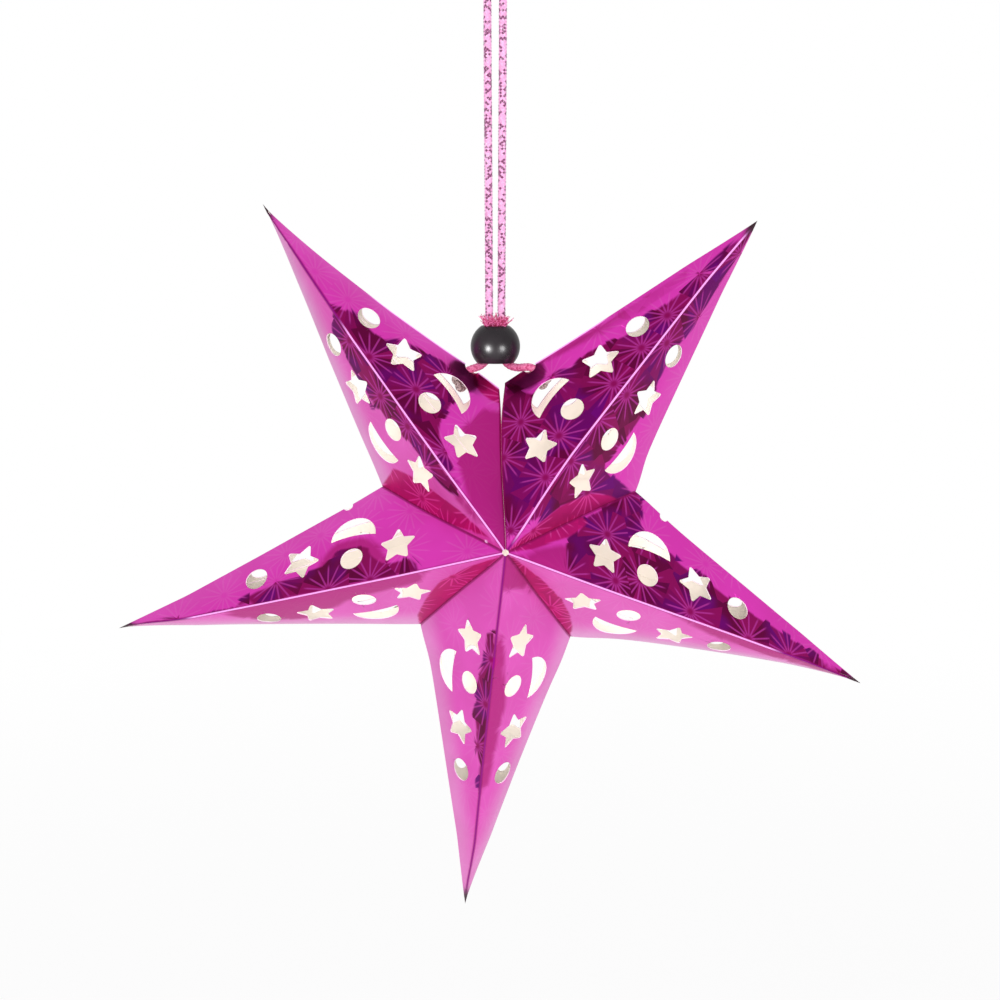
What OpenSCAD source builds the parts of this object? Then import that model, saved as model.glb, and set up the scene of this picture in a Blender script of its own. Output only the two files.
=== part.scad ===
// Paper star lantern: five folded arms of die-cut card, glued in a ring that is open at its top seam.
// A cord laced through the two arms at the seam closes it, under a bead that slides down both strands.
// X is to the right, Z is up, and the front looks along -Y.
// The origin is where a hook bears in the cord's loop.

/* [Star] */
// Height of the hook's bearing point above the centre of the star
drop = 221; // [215:1:225]
// Distance of the star's centre to the right of the hook
aside = 1.8; // [1:0.1:2.2]
// Distance from the centre of the star to each tip
tip_radius = 157.7; // [152:0.1:162]
// Distance from the middle plane to the front and back points
half_depth = 48; // [44:0.5:52]
// Thickness of the card
card_thickness = 0.4; // [0.3:0.05:0.5]
// Radius of the small hole where the arms meet at the front and back points
point_hole_r = 1.2; // [1:0.1:1.6]

/* [Directions of the arms] */
// Top left arm, in degrees from +X towards +Z
top_left_dir = 125.8; // [124:0.1:128]
// Left arm
left_dir = 195.7; // [194:0.1:198]
// Bottom arm
bottom_dir = 265.7; // [264:0.1:268]
// Right arm
right_dir = 337.2; // [335:0.1:339]
// Top right arm
top_right_dir = 411.4; // [410:0.1:413]

/* [Directions of the corners between arms] */
// Top corner of the top left arm, at the seam
seam_left_dir = 90.5; // [90.2:0.1:91.5]
// Corner between the top left and left arms
upper_left_dir = 159.6; // [158:0.1:161]
// Corner between the left and bottom arms
lower_left_dir = 230.5; // [229:0.1:232]
// Corner between the bottom and right arms
lower_right_dir = 303.7; // [302:0.1:305]
// Corner between the right and top right arms
upper_right_dir = 376.2; // [375:0.1:378]
// Top corner of the top right arm, at the seam
seam_right_dir = 448.3; // [447.5:0.1:448.8]

/* [Distances of the corners from the centre] */
// Top corner of the top left arm
seam_left_r = 56; // [53:0.1:58]
// Corner between the top left and left arms
upper_left_r = 50.3; // [48:0.1:54]
// Corner between the left and bottom arms
lower_left_r = 49.2; // [47:0.1:54]
// Corner between the bottom and right arms
lower_right_r = 50; // [48:0.1:54]
// Corner between the right and top right arms
upper_right_r = 54.5; // [50:0.1:57]
// Top corner of the top right arm
seam_right_r = 58; // [54:0.1:59]

/* [Punched shapes, measured from the point and the ridge of their facet] */
// Radius of the round holes
dot_r = 4.7; // [4:0.05:5.2]
// Outer round hole, along the ridge
outer_dot_along = 105; // [103:0.5:107]
// Outer round hole, from the ridge
outer_dot_off = 12.4; // [12.2:0.1:13.5]
// Inner round hole, along the ridge
inner_dot_along = 63.4; // [62:0.5:65]
// Inner round hole, from the ridge
inner_dot_off = 12.6; // [12.2:0.1:13.5]
// Radius of the outer star to its sharp points
outer_star_r = 8.6; // [8:0.1:9]
// Outer star, along the ridge
outer_star_along = 85.7; // [84.5:0.1:87]
// Outer star, from the ridge
outer_star_off = 16; // [15.5:0.1:16.5]
// Turn of the outer star
outer_star_turn = 185.6; // [180:0.1:192]
// Radius of the inner star to its sharp points
inner_star_r = 8.3; // [7.5:0.1:8.6]
// Inner star, along the ridge
inner_star_along = 43.9; // [43:0.1:45]
// Inner star, from the ridge
inner_star_off = 14.4; // [14:0.1:15]
// Turn of the inner star
inner_star_turn = 90; // [85:0.5:95]
// Radius of the stars' inner corners as a share of their points
star_waist = 0.52; // [0.48:0.01:0.58]
// Rounding of the stars' points
star_round = 0.7; // [0.4:0.1:0.9]
// Radius of the crescent's outer curve
moon_r = 9.6; // [9:0.1:10]
// Centre of the crescent's outer curve, along the ridge
moon_along = 63.6; // [62:0.1:65]
// Centre of the crescent's outer curve, from the ridge
moon_off = 22.3; // [22:0.1:23.5]
// Radius of the crescent's inner curve
moon_inner_r = 38; // [34:1:44]
// How far the inner curve bows past the crescent's widest line
moon_bow = 1.2; // [0.8:0.1:1.6]

/* [Eyelets on the outer folds] */
// Radius of the two eyelets at the seam, which the cord passes through
seam_eyelet_r = 3; // [2.8:0.05:3.2]
// Distance of the seam's eyelets from their corners
seam_eyelet_from_corner = 12.9; // [12.7:0.1:13.3]
// Radius of the eyelets on the upper folds of the left and right arms
side_eyelet_r = 2; // [1.8:0.1:2.4]
// Distance of the side eyelets from their corners
side_eyelet_from_corner = 16; // [15:0.5:18]

/* [Gluing flaps] */
// Width of the flaps along the valleys
flap_w = 8; // [6:0.5:9]
// Where a valley flap starts, from the front or back point
flap_start = 14; // [13:0.5:18]
// How far a valley flap ends before the corner
flap_end_gap = 6; // [4:0.5:9]
// Width of the closing flap along the back ridge
ridge_flap_w = 6.5; // [5:0.1:7]
// Where the closing flap starts, from the back point
ridge_flap_start = 16; // [14:0.5:22]
// Where the closing flap ends, from the back point
ridge_flap_end = 122; // [110:1:126]
// Thickness of the glue line
glue = 0.02; // [0.01:0.01:0.05]

/* [Cord and bead] */
// Diameter of the cord
cord_d = 3.2; // [3:0.05:3.4]
// Radius of the knots inside the arms, wider than the seam's eyelets
knot_r = 4.2; // [4:0.1:4.4]
// Outer radius of the bead
bead_r = 9.7; // [9.3:0.05:10]
// Distance from the bead's centre to its flat top
bead_top = 8.1; // [7.9:0.1:8.3]
// Radius of the bead's bore
bore_r = 4.6; // [4.5:0.05:4.7]
// Chamfer at the top of the bore
bore_chamfer = 0.5; // [0.3:0.1:0.6]
// Radius at which the strands bend outwards under the bead, at the middle of the cord
strand_bend_r = 6.5; // [6.4:0.1:6.6]
// Distance of each strand from the bead's axis
strand_off = 2.4; // [2.3:0.1:2.5]
// Height of the bend's centre below the bead's centre
bend_below = 1.9; // [1.8:0.1:2.1]
// Gap between the strands and the rounded mouth that they bend round
mouth_clearance = 0.2; // [0.15:0.05:0.5]

/* [Hidden] */
$fn = 48;
foil = "mediumvioletred";
// Depth that the punches reach on each side of a facet
punch_reach = 3;
// How far a flap's root passes its fold, and how wide it is under its own facet
root_lap = 0.8;
root_w = 1.6;
// Steps round a star's point, sides of an eyelet and of the cord's tube, and steps between its route's points
round_steps = 4;
eyelet_sides = 28;
cord_sides = 8;
cord_steps = 2;
// How far past the walls a cut runs, and how much longer the hollow of an arm is than the arm
over = 1;
hollow_scale = 1.6;

// Centre line of the cord as [x, z], from the left knot up round the hook and down to the right knot
cord_route = [
    [-13.4, -161.7], [-12.8, -159.4], [-11.2, -157.6], [-9.2, -156.6], [-7.4, -156], [-5.6, -155.2],
    [-3.3, -152.8], [-2.4, -149.6], [-2.4, -139], [-2.5, -110], [-2.7, -70], [-2.9, -36], [-3, -15.5],
    [-3.6, -12.5], [-5, -10.3], [-6.5, -8], [-7, -5.4], [-6.5, -2.7], [-4.9, -0.4], [-2.7, 1.1], [0, 1.6],
    [2.7, 1.1], [4.9, -0.4], [6.5, -2.7], [7, -5.4], [6.5, -8], [5, -10.3], [3.6, -12.5],
    [3, -15.5], [2.9, -36], [2.7, -70], [2.5, -110], [2.4, -139], [2.4, -149.6],
    [3.3, -152.8], [5.6, -155.2], [8.9, -156.1], [11.6, -155.9], [14.1, -156.1], [17, -157.8], [18.5, -160.7]];
// The route's point where the right strand has come level under the bead, which rests on both strands' bends
level_point = 36;

star_centre = [aside, 0, -drop];
front_point = [0, -half_depth, 0];
back_point = [0, half_depth, 0];

function unit(v) = v / norm(v);
function in_plane(r, a) = [r * cos(a), 0, r * sin(a)];

// Axes of a facet: along its line from point a to point b, across towards point c, and square to both
function facet_axes(a, b, c) =
    let (along = unit(b - a), side = c - a - ((c - a) * along) * along, across = unit(side))
    [along, across, cross(along, across)];
function facet_matrix(a, axes) = [
    [axes[0].x, axes[1].x, axes[2].x, a.x],
    [axes[0].y, axes[1].y, axes[2].y, a.y],
    [axes[0].z, axes[1].z, axes[2].z, a.z]];
function outward(a, axes) = (a * axes[2] > 0) ? 1 : -1;
function facet_normal(a, b, c) = let (axes = facet_axes(a, b, c)) outward(a, axes) * axes[2];

// Shift from an arm's tip to the tip of its hollow, which lies one card's thickness inside all four facets
function hollow_shift(tip, cw, ccw) =
    let (n1 = facet_normal(front_point, tip, cw), n2 = facet_normal(front_point, tip, ccw),
         det = n1.x * n2.z - n1.z * n2.x)
    [card_thickness * (n2.z - n1.z) / det, 0, card_thickness * (n1.x - n2.x) / det];

function round_point(r, waist, turn) =
    let (side = [waist * cos(36) - r, waist * sin(36)], half = atan2(side.y, -side.x),
         centre = r - star_round / sin(half))
    [for (i = [0 : round_steps]) let (a = (90 - half) * (2 * i / round_steps - 1))
        [cos(turn) * (centre + star_round * cos(a)) - sin(turn) * star_round * sin(a),
         sin(turn) * (centre + star_round * cos(a)) + cos(turn) * star_round * sin(a)]];
function star_outline(r) = [for (i = [0 : 4]) each concat(
    round_point(r, r * star_waist, 72 * i), [r * star_waist * [cos(72 * i + 36), sin(72 * i + 36)]])];

// Five shapes punched in every facet, with x along the ridge and y away from it
module punched_shapes() {
    translate([outer_dot_along, outer_dot_off]) circle(r = dot_r);
    translate([inner_dot_along, inner_dot_off]) circle(r = dot_r);
    translate([outer_star_along, outer_star_off]) rotate(outer_star_turn) polygon(star_outline(outer_star_r));
    translate([inner_star_along, inner_star_off]) rotate(inner_star_turn) polygon(star_outline(inner_star_r));
    translate([moon_along, moon_off]) difference() {
        circle(r = moon_r);
        translate([0, moon_bow - moon_inner_r]) circle(r = moon_inner_r);
    }
}

// The shapes punched through one facet with its point at a, its tip at b and its corner at c
module facet_punches(a, b, c) {
    multmatrix(facet_matrix(a, facet_axes(a, b, c)))
        linear_extrude(height = 2 * punch_reach, center = true) punched_shapes();
}

// An eyelet on the fold from a corner to a tip, round in the flat sheet and cut through both facets at once
module eyelet_cut(corner, tip, r, from_corner) {
    fold = unit(tip - corner);
    inward = unit((corner * fold) * fold - corner);
    slope = atan2(half_depth, -corner * inward);
    multmatrix(facet_matrix(corner + from_corner * fold, [fold, [0, 1, 0], inward]))
        translate([0, 0, -over]) linear_extrude(height = r + 2 * over)
            polygon([for (i = [0.5 : eyelet_sides]) let (a = 360 * i / eyelet_sides)
                r * [cos(a), sin(slope) * sin(a)]]);
}

// A strip under the facet that holds points a, b and c, along the fold from a to b, between two depths.
// It is width wide at depth, with slanted ends, and reaches past the fold by lap.
module under_strip(a, b, c, from, to, lap, width, slant, near, far) {
    axes = facet_axes(a, b, c);
    past_fold = lap > 0 ? [[from, -lap], [to, -lap]] : [];
    multmatrix(facet_matrix(a, axes))
        translate([0, 0, outward(a, axes) > 0 ? -far : near])
            linear_extrude(height = far - near)
                polygon(concat(past_fold, [[to, 0], [to - slant, width], [from + slant, width], [from, 0]]));
}

// Flap along the valley from point a to corner c: glued under the next arm's facet, rooted under its own
module valley_flap(a, tip, c, next_tip) {
    last = norm(c - a) - flap_end_gap;
    layer = card_thickness + glue;
    under_strip(a, c, next_tip, flap_start, last, root_lap, flap_w, flap_w, layer, layer + card_thickness);
    under_strip(a, c, tip, flap_start, last, root_lap, root_w, 0, layer, layer + card_thickness);
    under_strip(a, c, tip, flap_start, last, 0, root_w, 0, card_thickness / 2, layer + card_thickness / 2);
}

module arm_solid(tip, cw, ccw, shift, scale_up) {
    top = tip - shift;
    points = [for (p = [tip, cw, ccw, front_point, back_point]) top + scale_up * (p - tip)];
    polyhedron(points = points, faces = [[0, 1, 3], [0, 3, 2], [0, 4, 1], [0, 2, 4], [1, 4, 3], [2, 3, 4]]);
}

// One arm: dir is its tip's direction, and its two corners are given as [direction, distance].
// next_dir is the direction of the arm that its flaps are glued under, or undef at the seam.
// cw_eyelet and ccw_eyelet are the [radius, distance] of an eyelet on the fold from that corner, or undef.
module arm(dir, cw_corner, ccw_corner, next_dir, cw_eyelet, ccw_eyelet) {
    tip = in_plane(tip_radius, dir);
    cw = in_plane(cw_corner[1], cw_corner[0]);
    ccw = in_plane(ccw_corner[1], ccw_corner[0]);
    color(foil) translate(star_centre) difference() {
        union() {
            difference() {
                arm_solid(tip, cw, ccw, [0, 0, 0], 1);
                arm_solid(tip, cw, ccw, hollow_shift(tip, cw, ccw), hollow_scale);
            }
            if (!is_undef(next_dir)) for (a = [front_point, back_point])
                valley_flap(a, tip, ccw, in_plane(tip_radius, next_dir));
            under_strip(back_point, tip, cw, ridge_flap_start, ridge_flap_end, 0, ridge_flap_w,
                        ridge_flap_w, card_thickness / 2, 2 * card_thickness);
        }
        for (a = [front_point, back_point], c = [cw, ccw]) facet_punches(a, tip, c);
        if (!is_undef(cw_eyelet)) eyelet_cut(cw, tip, cw_eyelet[0], cw_eyelet[1]);
        if (!is_undef(ccw_eyelet)) eyelet_cut(ccw, tip, ccw_eyelet[0], ccw_eyelet[1]);
        rotate([90, 0, 0]) cylinder(r = point_hole_r, h = 2 * (half_depth + over), center = true);
    }
}

module arm_top_left()
    arm(top_left_dir, [seam_left_dir, seam_left_r], [upper_left_dir, upper_left_r], left_dir,
        cw_eyelet = [seam_eyelet_r, seam_eyelet_from_corner]);
module arm_left()
    arm(left_dir, [upper_left_dir, upper_left_r], [lower_left_dir, lower_left_r], bottom_dir,
        cw_eyelet = [side_eyelet_r, side_eyelet_from_corner]);
module arm_bottom()
    arm(bottom_dir, [lower_left_dir, lower_left_r], [lower_right_dir, lower_right_r], right_dir);
module arm_right()
    arm(right_dir, [lower_right_dir, lower_right_r], [upper_right_dir, upper_right_r], top_right_dir,
        ccw_eyelet = [side_eyelet_r, side_eyelet_from_corner]);
module arm_top_right()
    arm(top_right_dir, [upper_right_dir, upper_right_r], [seam_right_dir, seam_right_r], undef,
        ccw_eyelet = [seam_eyelet_r, seam_eyelet_from_corner]);

// A smooth curve through the route's points, passing each of them
function route_point(i) = cord_route[max(0, min(len(cord_route) - 1, i))];
function curve_point(i, t) =
    let (p0 = route_point(i - 1), p1 = route_point(i), p2 = route_point(i + 1), p3 = route_point(i + 2))
    0.5 * (2 * p1 + (p2 - p0) * t + (2 * p0 - 5 * p1 + 4 * p2 - p3) * t * t
           + (3 * p1 - p0 - 3 * p2 + p3) * t * t * t);
cord_curve = concat(
    [for (i = [0 : len(cord_route) - 2], s = [0 : cord_steps - 1]) curve_point(i, s / cord_steps)],
    [cord_route[len(cord_route) - 1]]);

// One closed tube swept along the curve, which lies in the middle plane
module cord_tube() {
    last = len(cord_curve) - 1;
    rings = [for (i = [0 : last])
        let (ahead = unit(cord_curve[min(i + 1, last)] - cord_curve[max(i - 1, 0)]),
             side = [-ahead.y, ahead.x])
        for (k = [0 : cord_sides - 1])
            let (a = 360 * (k + 0.5) / cord_sides, s = cord_d / 2 * cos(a), p = cord_curve[i])
            [p.x + side.x * s, cord_d / 2 * sin(a), p.y + side.y * s]];
    sides = [for (i = [0 : last - 1], k = [0 : cord_sides - 1])
        let (n = (k + 1) % cord_sides, r = i * cord_sides)
        [r + k, r + n, r + cord_sides + n, r + cord_sides + k]];
    start_cap = [[for (k = [cord_sides - 1 : -1 : 0]) k]];
    end_cap = [[for (k = [0 : cord_sides - 1]) last * cord_sides + k]];
    polyhedron(points = rings, faces = concat(sides, start_cap, end_cap));
}

// The cord with a knot tied at each end
module hanging_cord() {
    color("hotpink") union() {
        cord_tube();
        for (end = [cord_route[0], cord_route[len(cord_route) - 1]])
            translate([end.x, 0, end.y]) sphere(r = knot_r);
    }
}

// A ball with a flat top and a wide bore, whose mouth is rounded where the strands bend outwards
module bead() {
    bend_x = strand_off + strand_bend_r;
    rest = cord_route[level_point].y + bend_below + strand_bend_r;
    color([0.08, 0.08, 0.09]) translate([0, 0, rest]) difference() {
        intersection() {
            sphere(r = bead_r);
            translate([0, 0, bead_top - 2 * bead_r]) cylinder(r = bead_r + over, h = 2 * bead_r);
        }
        cylinder(r = bore_r, h = 2 * (bead_r + over), center = true);
        translate([0, 0, bead_top - bore_chamfer])
            cylinder(r1 = bore_r, r2 = bore_r + 2 * bore_chamfer, h = 2 * bore_chamfer);
        rotate_extrude() difference() {
            translate([0, -bead_r - over]) square([bend_x, bead_r + over - bend_below]);
            translate([bend_x, -bend_below]) circle(r = strand_bend_r - cord_d / 2 - mouth_clearance);
        }
    }
}

arm_top_left();
arm_left();
arm_bottom();
arm_right();
arm_top_right();
hanging_cord();
bead();
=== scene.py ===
import math
import random

import bpy
import numpy as np
from mathutils import Matrix, Vector


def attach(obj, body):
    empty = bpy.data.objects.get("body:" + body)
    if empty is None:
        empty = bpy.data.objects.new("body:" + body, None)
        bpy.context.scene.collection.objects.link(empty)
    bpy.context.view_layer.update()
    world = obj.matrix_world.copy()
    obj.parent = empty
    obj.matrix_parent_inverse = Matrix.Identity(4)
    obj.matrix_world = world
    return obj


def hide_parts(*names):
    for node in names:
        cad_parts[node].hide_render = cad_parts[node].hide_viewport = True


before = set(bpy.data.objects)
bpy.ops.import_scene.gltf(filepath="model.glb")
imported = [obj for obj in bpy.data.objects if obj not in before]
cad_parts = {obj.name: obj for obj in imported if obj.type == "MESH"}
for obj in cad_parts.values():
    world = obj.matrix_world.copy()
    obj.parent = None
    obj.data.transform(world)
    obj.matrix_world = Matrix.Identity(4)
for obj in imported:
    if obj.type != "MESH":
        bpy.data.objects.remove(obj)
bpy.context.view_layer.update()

mm = 0.001


# the camera stands a little above the star and looks slightly down at it
camera = {
    "place": (0.0029, -0.7051, -0.0925),
    "tilt": 80.64,
    "turn": 0.087,
    "lens": 64.8,
}

# where the sheet's points are, in mm, as seen from the front
star = {
    "centre": (1.8, 0.0, -221.0),
    "halfDepth": 48.0,
    "tipRadius": 157.7,
}

# each arm's tip direction, and its two corners as (direction, distance), in degrees and mm
arms = {
    "arm_top_left": {"tip": 125.8, "corners": ((90.5, 56.0), (159.6, 50.3))},
    "arm_left": {"tip": 195.7, "corners": ((159.6, 50.3), (230.5, 49.2))},
    "arm_bottom": {"tip": 265.7, "corners": ((230.5, 49.2), (303.7, 50.0))},
    "arm_right": {"tip": 337.2, "corners": ((303.7, 50.0), (376.2, 54.5))},
    "arm_top_right": {"tip": 411.4, "corners": ((376.2, 54.5), (448.3, 58.0))},
}


def placeCamera():
    data = bpy.data.cameras.new("camera")
    data.lens = camera["lens"]
    data.sensor_width = 36
    data.clip_start = 0.01
    viewer = bpy.data.objects.new("camera", data)
    viewer.location = camera["place"]
    viewer.rotation_euler = (math.radians(camera["tilt"]), 0, math.radians(camera["turn"]))
    bpy.context.scene.collection.objects.link(viewer)
    bpy.context.scene.camera = viewer


placeCamera()
print("camera placed")


# small helpers for node trees
class Shader:
    def __init__(self, name):
        self.material = bpy.data.materials.new(name)
        self.material.use_nodes = True
        self.tree = self.material.node_tree
        self.surface = self.tree.nodes["Principled BSDF"]

    def node(self, kind, **settings):
        made = self.tree.nodes.new(kind)
        for key, value in settings.items():
            setattr(made, key, value)
        return made

    def join(self, source, target):
        if isinstance(source, bpy.types.NodeSocket):
            self.tree.links.new(source, target)
        else:
            target.default_value = source

    def math(self, operation, *inputs):
        made = self.node("ShaderNodeMath", operation=operation)
        for source, target in zip(inputs, made.inputs):
            self.join(source, target)
        return made.outputs[0]

    def times(self, first, second):
        return self.math("MULTIPLY", first, second)

    def plus(self, first, second):
        return self.math("ADD", first, second)

    def less(self, first, second):
        return self.math("SUBTRACT", first, second)

    def length(self, x, y):
        return self.math("SQRT", self.plus(self.times(x, x), self.times(y, y)))

    def step(self, value, low, high, fromValue=0.0, toValue=1.0):
        made = self.node("ShaderNodeMapRange", interpolation_type="SMOOTHSTEP")
        for source, name in ((value, "Value"), (low, "From Min"), (high, "From Max"),
                             (fromValue, "To Min"), (toValue, "To Max")):
            self.join(source, made.inputs[name])
        return made.outputs["Result"]

    def blend(self, factor, first, second):
        made = self.node("ShaderNodeMix", data_type="RGBA")
        for source, target in ((factor, made.inputs[0]), (first, made.inputs[6]), (second, made.inputs[7])):
            self.join(source, target)
        return made.outputs[2]

    def noise(self, vector, scale, detail=2.0, roughness=0.5):
        made = self.node("ShaderNodeTexNoise")
        self.join(vector, made.inputs["Vector"])
        made.inputs["Scale"].default_value = scale
        made.inputs["Detail"].default_value = detail
        made.inputs["Roughness"].default_value = roughness
        return made.outputs["Fac"]

    def attribute(self, name):
        return self.node("ShaderNodeAttribute", attribute_name=name)

    def parts(self, vector):
        made = self.node("ShaderNodeSeparateXYZ")
        self.join(vector, made.inputs[0])
        return made.outputs

    def vector(self, x, y, z):
        made = self.node("ShaderNodeCombineXYZ")
        for source, target in zip((x, y, z), made.inputs):
            self.join(source, target)
        return made.outputs[0]

    def bump(self, height, strength, distance):
        made = self.node("ShaderNodeBump")
        made.inputs["Strength"].default_value = strength
        made.inputs["Distance"].default_value = distance
        self.join(height, made.inputs["Height"])
        self.join(made.outputs[0], self.surface.inputs["Normal"])

    def set(self, **values):
        for key, value in values.items():
            self.join(value, self.surface.inputs[key])


foil = {
    "bright": (0.84, 0.052, 0.55, 1),
    # pink and pale paint the reflection of the pale surroundings, as far as a facet's wash says; pale also
    # tints the rays
    "pink": (0.88, 0.150, 0.60, 1),
    "pale": (0.90, 0.42, 0.76, 1),
    # plum, deep plum and violet paint the dark zones, a painted reflection of dark surroundings; ray is the
    # foil's rays in them
    "plum": (0.300, 0.004, 0.115, 1),
    "deepPlum": (0.140, 0.001, 0.050, 1),
    "violet": (0.170, 0.002, 0.190, 1),
    "ray": (0.52, 0.040, 0.36, 1),
    # dim paints the dim zones, a dimmer painted reflection, and the foil's random mottling
    "dim": (0.500, 0.014, 0.215, 1),
    # crimson and crimson ray paint the red zones by the valleys, a painted reflection of the neighbouring arm
    "crimson": (0.600, 0.008, 0.190, 1),
    "crimsonRay": (0.84, 0.070, 0.42, 1),
    # black paints the black zones, the darkest painted reflection
    "black": (0.120, 0.0010, 0.034, 1),
    # ridge paints the painted highlights on the ridges and the rims
    "ridge": (1.0, 0.40, 0.95, 1),
    # painted shade along a ridge where no highlight is painted
    "ridgeShade": (0.34, 0.006, 0.26, 1),
    "tip": (0.060, 0.028, 0.040, 1),
    "glint": (1.0, 0.72, 0.98, 1),
    "burstSize": 21.0,       # distance between bursts, mm
    "rays": 15,              # rays in each burst
    "rayWidth": 0.20,        # mm
    "rayReach": 12.0,        # mm
    "burstTurn": 6.0,        # how far one burst can be turned from another, radians
    "facetShift": 71.3,      # how far the pattern is shifted from facet to facet, mm
    "wobble": 1.6,           # how far a zone's edge wanders, mm
    "jag": 2.4,              # and how far it jumps from ray to ray, mm
    "metallic": 0.92,
    "paintedHighlight": 0.15,            # what is left of that on the painted highlights
    "roughness": 0.30,
}


# how near a point is to one of the rays of its burst, and a value that differs from ray to ray
def burst(s, place, size, phase):
    cells = s.node("ShaderNodeTexVoronoi", voronoi_dimensions="2D", feature="F1")
    s.join(place, cells.inputs["Vector"])
    cells.inputs["Scale"].default_value = 1 / size
    cells.inputs["Randomness"].default_value = 0.55
    here = s.parts(place)
    centre = s.parts(cells.outputs["Position"])
    across = s.less(here[0], centre[0])
    along = s.less(here[1], centre[1])
    reach = s.length(across, along)
    tint = s.parts(cells.outputs["Color"])
    angle = s.plus(s.math("ARCTAN2", along, across), s.times(tint[0], phase))
    turn = s.times(angle, foil["rays"] / (2 * math.pi))
    offset = s.math("ABSOLUTE", s.less(s.math("FRACT", turn), 0.5))
    gap = s.times(s.times(offset, reach), 2 * math.pi / foil["rays"])
    line = s.step(gap, foil["rayWidth"], foil["rayWidth"] * 2.4, 1.0, 0.0)
    start = s.step(reach, 0.6, 2.4)
    end = s.step(reach, foil["rayReach"] * 0.75, foil["rayReach"], 1.0, 0.0)
    blade = s.node("ShaderNodeTexWhiteNoise", noise_dimensions="3D")
    number = s.vector(s.math("FLOOR", turn), s.times(tint[1], 37.0), s.times(tint[2], 53.0))
    s.join(number, blade.inputs["Vector"])
    return s.times(s.times(line, start), end), blade.outputs["Value"], reach


def makeFoil():
    s = Shader("magenta_foil")
    along, across, valley = s.parts(s.attribute("place").outputs["Vector"])
    darkGap, redGap, dimGap = s.parts(s.attribute("paint").outputs["Vector"])
    blackGap, edge, wash = s.parts(s.attribute("wash").outputs["Vector"])
    ridgeHighlight, rim, glintGap = s.parts(s.attribute("lines").outputs["Vector"])
    seed = s.attribute("facet").outputs["Fac"]
    shifted = s.vector(s.plus(along, s.times(seed, foil["facetShift"])), across, 0.0)
    line, blade, reach = burst(s, shifted, foil["burstSize"], foil["burstTurn"])
    wobble = s.less(s.noise(shifted, 0.09, 1.0), 0.5)
    ragged = s.plus(s.times(wobble, foil["wobble"]), s.times(s.less(blade, 0.5), foil["jag"]))

    # whether a point is in a zone: share is how ragged the zone's edge is, and soft is its half width in mm
    def inZone(gap, share, soft):
        return s.step(s.plus(gap, s.times(ragged, share)), -soft, soft)

    # masks of the painted reflections: the dark, red, dim and black zones
    dark = inZone(darkGap, 1.0, 0.7)
    red = inZone(redGap, 0.2, 0.6)
    dim = inZone(dimGap, 0.6, 1.6)
    black = s.times(inZone(blackGap, 0.6, 1.0), 0.85)
    # the dark zones, a painted reflection of dark surroundings: plum blades with violet patches between pale
    # rays
    patch = s.noise(shifted, 0.045, 2.0)
    deep = s.times(blade, s.step(reach, 1.0, 5.0))
    plum = s.blend(s.step(deep, 0.2, 0.7), foil["plum"], foil["deepPlum"])
    plum = s.blend(s.times(deep, s.step(patch, 0.45, 0.60)), plum, foil["violet"])
    plum = s.blend(s.times(line, 0.75), plum, foil["ray"])
    # the red zones, a painted reflection of the neighbouring arm: crimson with rays and plum blades
    crimson = s.blend(s.times(blade, 0.35), foil["crimson"], foil["plum"])
    crimson = s.blend(s.times(line, 0.75), crimson, foil["crimsonRay"])
    # painted reflection of the pale surroundings: pinker with more wash, paler towards the outer fold
    bright = s.blend(s.step(wash, 0.0, 1.0), foil["bright"], foil["pink"])
    bright = s.blend(s.times(wash, s.step(edge, 16.0, 1.0)), bright, foil["pale"])
    bright = s.blend(s.times(line, 0.08), bright, foil["pale"])
    bright = s.blend(s.step(patch, 0.35, 0.62, 0.0, 0.12), bright, foil["dim"])
    # the painted reflections laid over the foil's own colour: dim, then dark, red and black
    colour = s.blend(s.times(dim, 0.85), bright, foil["dim"])
    colour = s.blend(dark, colour, plum)
    colour = s.blend(red, colour, crimson)
    colour = s.blend(black, colour, foil["black"])
    # painted light on the lines: painted shade beside the folds, a painted highlight or painted shade along
    # the ridge, a painted highlight on the rim, a painted glint, and the dark tip
    shadow = s.math("MAXIMUM", s.step(across, 0.5, 1.3, 0.55, 0.0), s.step(valley, 0.3, 1.0, 0.7, 0.0))
    colour = s.blend(shadow, colour, foil["plum"])
    # on the ridge, a painted highlight where its span says so and painted shade elsewhere; on the rim, a
    # painted highlight
    onRidge = s.step(across, 0.32, 0.60, 1.0, 0.0)
    paintedHighlight = s.times(onRidge, ridgeHighlight)
    colour = s.blend(onRidge, colour, s.blend(ridgeHighlight, foil["ridgeShade"], foil["ridge"]))
    rimHighlight = s.times(s.step(edge, 0.45, 0.85, 1.0, 0.0), rim)
    colour = s.blend(rimHighlight, colour, foil["ridge"])
    glint = s.step(glintGap, -0.4, 0.4)
    colour = s.blend(glint, colour, foil["glint"])
    colour = s.blend(s.times(s.step(along, 155.0, 162.0), s.step(across, 1.0, 2.5, 1.0, 0.3)),
                     colour, foil["tip"])
    matt = s.math("MAXIMUM", s.math("MAXIMUM", paintedHighlight, rimHighlight), glint)
    s.set(**{"Base Color": colour, "Metallic": s.step(matt, 0.0, 1.0, foil["metallic"], foil["paintedHighlight"]),
             "Roughness": foil["roughness"], "Specular IOR Level": 0.3})
    height = s.plus(s.times(line, 0.6), s.times(blade, s.step(reach, 0.5, 3.0)))
    s.bump(height, 0.06, 0.0003)
    return s.material


paper = {
    "inside": (0.80, 0.755, 0.69, 1),
    "cut": (0.95, 0.78, 0.90, 1),
    # mauve is painted shade, with the foil's pink reflection in it, near the seam
    "mauve": (0.42, 0.11, 0.20, 1),
    "seam": (1.8, 6.0, -166.0),
    "lips": 3.2,             # how far the seam's lips are to the right of the hook, mm
}


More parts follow.
